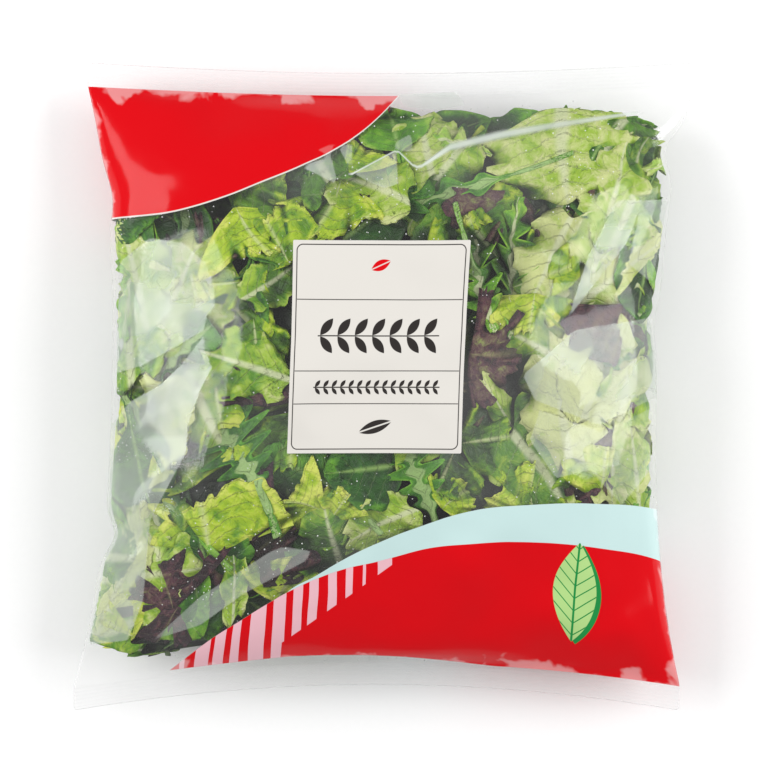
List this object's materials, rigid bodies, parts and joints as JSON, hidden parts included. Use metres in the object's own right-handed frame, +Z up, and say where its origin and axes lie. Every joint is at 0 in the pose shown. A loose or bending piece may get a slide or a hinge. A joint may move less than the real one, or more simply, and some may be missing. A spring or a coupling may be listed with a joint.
{
  "type": "bag of salad leaves",
  "caption": "Sealed pillow bag of clear film filled with mixed salad leaves, lying on its back with its printed front up.",
  "frame": {"origin": "on the surface the bag lies on, under the middle of the bag's bounding box", "axes": "+X across the bag to the right of its printed front, +Y along the bag to its top seal, +Z up through the printed front"},
  "size_m": [0.246, 0.257, 0.0644],
  "materials": {
    "film": "gloss"
  },
  "bodies": {
    "root": {"salad_bag": "film"}
  },
  "joints": []
}
